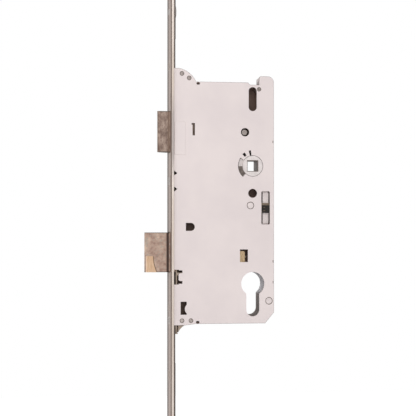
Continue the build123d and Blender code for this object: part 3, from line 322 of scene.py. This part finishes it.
def machinedBrass(name, dark, light):
    # Milled brass, dulled by oil: tan to olive, with the cutter's fine lines
    material, tree, surface = newMaterial(name, {"Metallic": 0.55, "Roughness": 0.4})
    lines = stretchedNoise(tree, size=(0.8, 6, 1.6), detail=3)
    tree.links.new(ramp(tree, lines, [(0.35, dark), (0.65, light)]), surface.inputs["Base Color"])
    return material


def blackNylon():
    # Moulded nylon of the selector block: near black, slightly uneven
    material, tree, surface = newMaterial("blackNylon", {"Roughness": 0.75})
    cloud = stretchedNoise(tree, size=(1.5, 1.5, 1.5), detail=3)
    tone = ramp(tree, cloud, [(0.3, "#0e0907"), (0.7, "#1c120e")])
    tree.links.new(tone, surface.inputs["Base Color"])
    return material


latchBody = {
    "patch": (3.2, 3.2, 5.5),
    "stops": [(0.34, "#6a554a"), (0.46, "#877266"), (0.56, "#9e897c"), (0.68, "#b6a192")],
    "edge": "#6f665c",
}
latchSpots = {"patch": (1.1, 1.1, 1.7), "seen": [(0.56, 0.0), (0.68, 0.75)], "colour": "#6a4f42"}
boltBody = {
    "patch": (3.4, 3.4, 3.4),
    "stops": [(0.32, "#8f7265"), (0.45, "#a98d7e"), (0.57, "#b59b8b"), (0.7, "#c7ae9a")],
    "edge": "#857a6e",
}
boltSpots = {"patch": (1.6, 1.6, 1.6), "seen": [(0.57, 0.0), (0.66, 0.7)], "colour": "#9c968b"}
materials = {
    "cover": zincPlatedSheet("zincPlatedSheet"),
    "base": zincPlatedSheet("zincPlatedTray", [(0.35, "#70574c"), (0.65, "#8e7366")]),
    "follower": sinteredFollower(),
    "strip": satinStripSteel(),
    "rod": drawnRodSteel(),
    "stop": rolledSteel("blackenedSteel", [(0.3, "#5a504a"), (0.7, "#7c716a")], 0.4, (2, 2, 2)),
    "oiled": rolledSteel("oiledSteel", [(0.3, "#5a483f"), (0.7, "#786457")], 0.4, (4, 4, 4)),
    # Rivet and stud ends painted a darker grey than the sheet, as painted shade
    "rivet": rolledSteel("rivetSteelPaintedShade", [(0.35, "#a0948e"), (0.65, "#bfb4ae")], 0.4, (1.4, 1.4, 1.4)),
    "pillar": rolledSteel("zincedPillarSteel", [(0.35, "#e3d7d5"), (0.65, "#f1e5e2")], 0.2, (4, 4, 4)),
    "zinc": rolledSteel("brightZincSteel", [(0.3, "#b3aeaa"), (0.7, "#cbc6c2")], 0.6, (2, 2, 2)),
    "latch": platedCasting("platedLatchCasting", latchBody, latchSpots,
                           {"band": "latchRoot", "colour": "#7d6656"}),
    "deadbolt": platedCasting("platedBoltCasting", boltBody, boltSpots,
                              {"band": "deadboltRoot", "colour": "#38241b"}),
    "roller": turnedRollerSteel(),
    "bracket": rolledSteel("platedBracketSteel", [(0.3, "#8b7868"), (0.5, "#a29283"), (0.7, "#b3a496")],
                           0.4, (3, 3, 5)),
    "insert": groundInsertSteel(),
    "brass": machinedBrass("machinedBrass", "#a58a68", "#c3ab88"),
    "plateBrass": machinedBrass("oiledBrass", "#65584d", "#8a7969"),
    "nylon": blackNylon(),
}

nodeFinish = {
    "cover": ("case_cover", "selector_track"),
    "pillar": ("case_pillars",),
    "base": ("case_base",),
    "follower": ("follower",),
    "strip": ("faceplate",),
    "rod": ("upper_rod", "lower_rod"),
    "stop": ("follower_stop",),
    "oiled": ("latch_tail", "deadbolt_tail", "upper_slide", "lower_slide", "key_gear_pin",
              "reversing_gear_pin", "latch_spring_seat", "follower_spring_seat"),
    "rivet": ("case_rivets", "tail_stud"),
    "zinc": ("case_screws", "guide_rivets", "latch_pins", "deadbolt_pins"),
    "latch": ("latch_bolt",),
    "deadbolt": ("deadbolt_head",),
    "roller": ("upper_outer_roller", "upper_inner_roller", "lower_inner_roller", "lower_outer_roller",
               "upper_roller_pins", "lower_roller_pins", "upper_roller_washers",
               "lower_roller_washers"),
    "bracket": ("middle_bracket", "bottom_bracket", "latch_guides", "deadbolt_guides"),
    "insert": ("deadbolt_insert",),
    "brass": ("reversing_gear", "gear_keeper"),
    "plateBrass": ("selector_plate", "key_gear"),
    "nylon": ("selector_block",),
}
for finish, nodeNames in nodeFinish.items():
    for nodeName in nodeNames:
        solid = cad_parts[nodeName]
        solid.data.materials.clear()
        solid.data.materials.append(materials[finish])
print("finishes set")


# Springs: the CAD's stay as long as they are at rest and are hidden; these coils are wound in their place
# and ride on the lock's body. Sizes are in millimetres

latchCoil = {
    "node": "latch_spring",
    "start": 9.2,
    "end": 37.8,
    "height": 28.0,
    "radius": 2.4,
    "fixedEnd": 37.8,
    "travel": 10.4,  # how far the latch tail's shoulder comes
}
followerCoil = {
    "node": "follower_spring",
    "start": 36.2,
    "end": 67.3,
    "height": -11.9,
    "radius": 2.6,
    "fixedEnd": 36.2,
    "travel": 8.6,  # a little more than the follower's lower arm comes
}
wire = {"radius": 0.5, "turns": 9, "stepsPerTurn": 32, "sides": 12}


def addCoil(name, coil):
    # Round wire wound round a line along X: rings of points across the wire, each a step further
    # round and along, joined by quads and closed by a flat face at both ends
    sides, steps = wire["sides"], wire["turns"] * wire["stepsPerTurn"]
    length = coil["end"] - coil["start"] - 2 * wire["radius"]
    lean = math.atan2(length, 2 * math.pi * coil["radius"] * wire["turns"])
    angles = [2 * math.pi * side / sides for side in range(sides)]
    circle = [Vector((-math.sin(angle), math.cos(angle), 0)) * wire["radius"] for angle in angles]
    points = []
    for step in range(steps + 1):
        along = coil["start"] + wire["radius"] + length * step / steps
        place = (Matrix.Translation((along, 0, coil["height"]))
                 @ Matrix.Rotation(2 * math.pi * step / wire["stepsPerTurn"], 4, "X")
                 @ Matrix.Translation((0, coil["radius"], 0)) @ Matrix.Rotation(lean, 4, "Y"))
        points += [place @ point * mm for point in circle]
    faces = [[0, *range(sides - 1, 0, -1)], range(steps * sides, (steps + 1) * sides)]
    for step in range(steps):
        for side in range(sides):
            cornerShade, beside = step * sides + side, step * sides + (side + 1) % sides
            faces.append((cornerShade, beside, beside + sides, cornerShade + sides))
    mesh = bpy.data.meshes.new(name)
    mesh.from_pydata(points, [], faces)
    for face in mesh.polygons:
        face.use_smooth = len(face.vertices) == 4
    mesh.materials.append(materials["zinc"])
    spring = bpy.data.objects.new(name, mesh)
    bpy.context.collection.objects.link(spring)
    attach(spring, "lock")
    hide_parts(coil["node"])
    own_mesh(spring)


addCoil("latchCoil", latchCoil)
addCoil("followerCoil", followerCoil)
print("springs wound")


# Stage: pale floor, soft studio light, and the photograph's camera

camera = {
    "target": Vector((29.5, -8.0, -33.0)) * mm,
    "azimuth": -10.0,
    "elevation": -1.1,
    "distance": 1.15,
    "fieldOfView": 16.0,
    "sensorWidth": 36.0,
}
lamps = {
    "key": {"place": (-0.5, -1.8, 0.4), "size": 1.2, "power": 8.8},
    "fill": {"place": (-1.6, -1.0, 0.2), "size": 1.6, "power": 0.5},
    "top": {"place": (0.2, -0.4, 2.2), "size": 1.6, "power": 4.0},
}
sky = {"colour": "#f4f4f6", "strength": 0.6}
ground = {"halfSize": 6.0, "gap": 0.5 * mm, "colour": "#f2f2f2", "glow": 0.6}


def whiteForTheCamera(tree, plain, white):
    # Camera, glossy and transmission rays see white; the rays that light the object see plain
    rays = addNode(tree, "ShaderNodeLightPath")
    seen = calculate(tree, "MAXIMUM", rays.outputs["Is Camera Ray"], rays.outputs["Is Glossy Ray"])
    seen = calculate(tree, "MAXIMUM", seen, rays.outputs["Is Transmission Ray"])
    return addNode(tree, "ShaderNodeMixShader", {0: seen, 1: plain, 2: white}).outputs[0]


def makeWorld():
    world = bpy.data.worlds.new("studio")
    world.use_nodes = True
    tree = world.node_tree
    tree.nodes.clear()
    soft = addNode(tree, "ShaderNodeBackground", {"Color": sky["colour"], "Strength": sky["strength"]})
    white = addNode(tree, "ShaderNodeBackground", {"Color": (1, 1, 1, 1), "Strength": 1.0})
    mixed = whiteForTheCamera(tree, soft.outputs[0], white.outputs[0])
    addNode(tree, "ShaderNodeOutputWorld", {"Surface": mixed})
    bpy.context.scene.world = world


def makeFloor():
    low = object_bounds()[0].z
    mesh = bpy.data.meshes.new("floor")
    bm = bmesh.new()
    bmesh.ops.create_grid(bm, x_segments=1, y_segments=1, size=ground["halfSize"],
                          matrix=Matrix.Translation((0, 0, low - ground["gap"])))
    bm.to_mesh(mesh)
    bm.free()
    floor = bpy.data.objects.new("floor", mesh)
    bpy.context.collection.objects.link(floor)
    material, tree, surface = newMaterial("paleFloor", {"Base Color": ground["colour"], "Roughness": 0.8})
    white = addNode(tree, "ShaderNodeEmission", {"Strength": ground["glow"]})
    brighter = addNode(tree, "ShaderNodeAddShader", {0: surface.outputs[0], 1: white.outputs[0]})
    mixed = whiteForTheCamera(tree, surface.outputs[0], brighter.outputs[0])
    output = next(node for node in tree.nodes if node.type == "OUTPUT_MATERIAL")
    tree.links.new(mixed, output.inputs["Surface"])
    mesh.materials.append(material)


def makeLamps():
    for name, lamp in lamps.items():
        light = bpy.data.lights.new(name, "AREA")
        light.size = lamp["size"]
        light.energy = lamp["power"]
        holder = bpy.data.objects.new(name, light)
        holder.location = lamp["place"]
        holder.rotation_euler = (-Vector(lamp["place"])).to_track_quat("-Z", "Y").to_euler()
        bpy.context.collection.objects.link(holder)


def makeCamera():
    turn, rise = math.radians(camera["azimuth"]), math.radians(camera["elevation"])
    back = Vector((math.sin(turn) * math.cos(rise), -math.cos(turn) * math.cos(rise), math.sin(rise)))
    data = bpy.data.cameras.new("photoCamera")
    data.sensor_width = camera["sensorWidth"]
    data.lens = data.sensor_width / 2 / math.tan(math.radians(camera["fieldOfView"]) / 2)
    holder = bpy.data.objects.new("photoCamera", data)
    holder.location = camera["target"] + back * camera["distance"]
    holder.rotation_euler = (-back).to_track_quat("-Z", "Y").to_euler()
    bpy.context.collection.objects.link(holder)
    bpy.context.scene.camera = holder


makeWorld()
makeFloor()
makeLamps()
makeCamera()
bpy.context.scene.view_settings.view_transform = "Standard"
print("stage ready")
